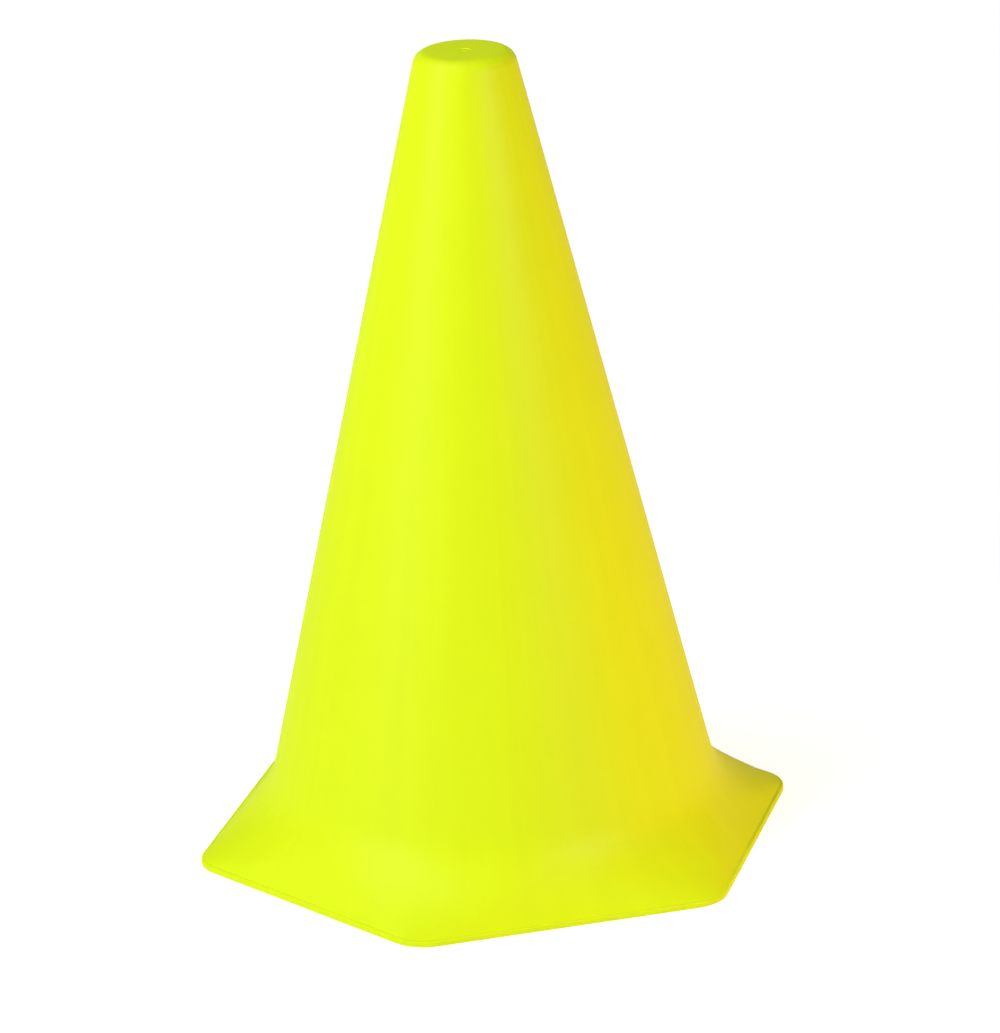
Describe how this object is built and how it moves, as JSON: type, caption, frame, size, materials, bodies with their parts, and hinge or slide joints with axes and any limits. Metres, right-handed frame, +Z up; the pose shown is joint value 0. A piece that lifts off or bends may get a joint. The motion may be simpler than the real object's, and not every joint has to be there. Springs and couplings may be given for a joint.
{
  "type": "sports marker cone",
  "caption": "Hollow moulded training cone with a closed flat tip, smooth tapered wall and flared hexagonal brim; it stands on the ground as a field marker and nests over others like it.",
  "frame": {"origin": "on the ground, under the tip, at the middle of the brim's underside", "axes": "+Z up along the cone's axis; two opposite corners of the hexagonal brim lie on the X axis and two flats face -Y and +Y"},
  "size_m": [0.1726, 0.1528, 0.23],
  "materials": {
    "neon_plastic": "satin soft polyethylene, fluorescent yellow all through"
  },
  "bodies": {
    "root": {"crown": "neon_plastic", "cone_wall": "neon_plastic", "flare": "neon_plastic", "hex_brim": "neon_plastic"}
  },
  "joints": []
}
